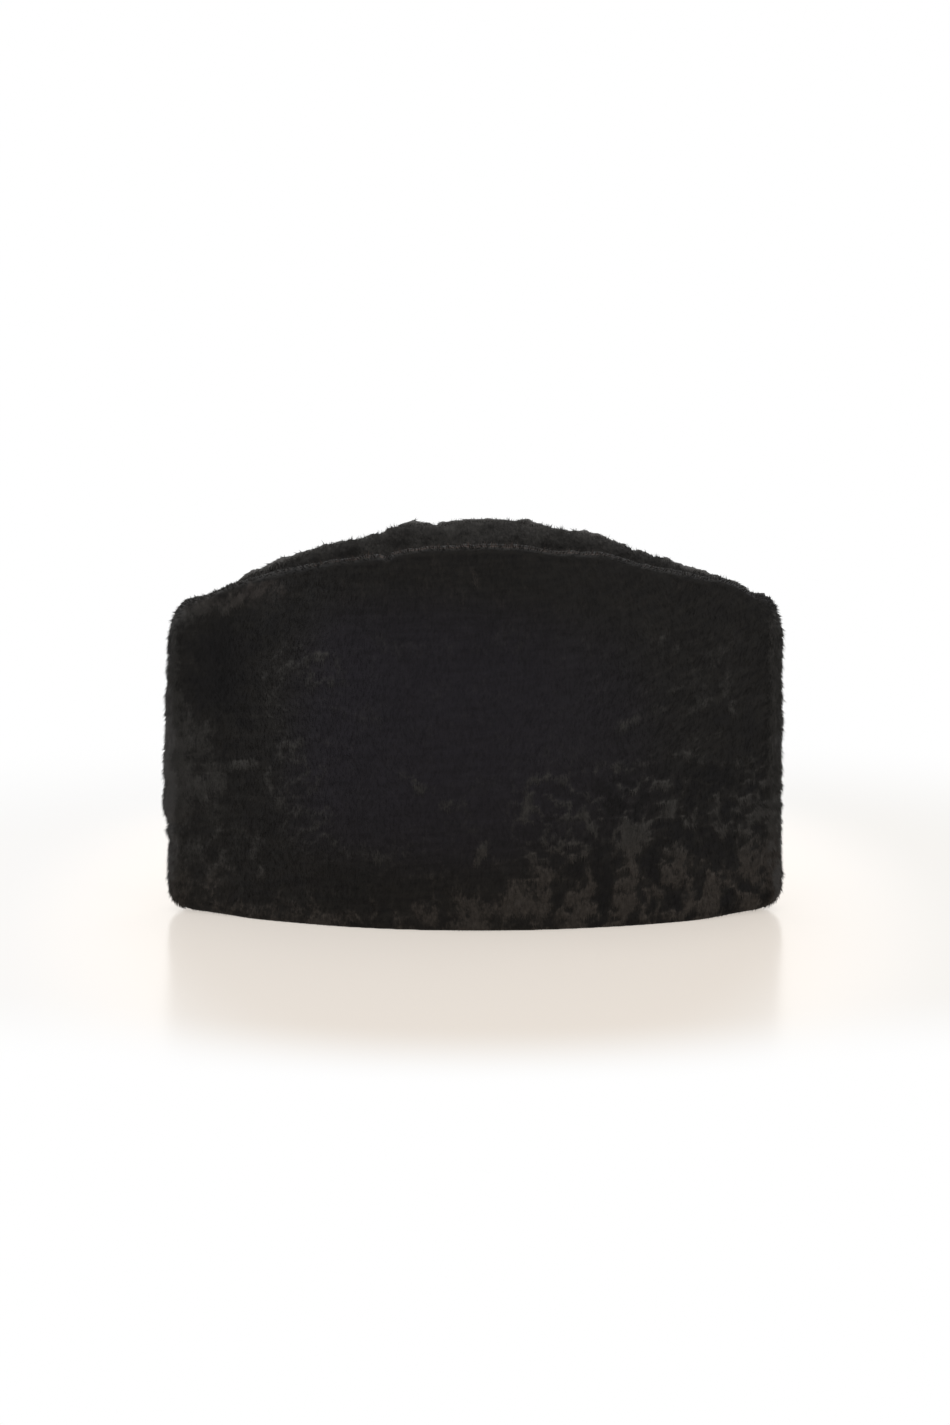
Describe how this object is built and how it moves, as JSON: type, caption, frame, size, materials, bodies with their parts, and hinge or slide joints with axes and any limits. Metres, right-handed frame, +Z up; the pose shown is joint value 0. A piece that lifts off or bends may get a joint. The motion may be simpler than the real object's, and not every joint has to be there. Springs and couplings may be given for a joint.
{
  "type": "kalpak",
  "caption": "Tall fold-flat kalpak of black sheared lambskin, standing half open on its hem, with its crown folded down as a valley between two arched ridges.",
  "frame": {"origin": "on the ground, under the middle of the hat's bounding box", "axes": "+X along the hat, to the right for someone who faces the near side, -Y out of the near side, +Z up"},
  "size_m": [0.29, 0.092, 0.1811],
  "materials": {
    "side_fur": "short, dense, near-black sheared lambskin pile with a soft wavy watered pattern",
    "crown_fur": "the same pile, a little greyer where the crown folds down",
    "inside_pelt": "plain matt dark back of the pelt"
  },
  "bodies": {
    "root": {"near_side_panel": "side_fur", "far_side_panel": "side_fur", "crown_fold": "crown_fur"}
  },
  "joints": []
}
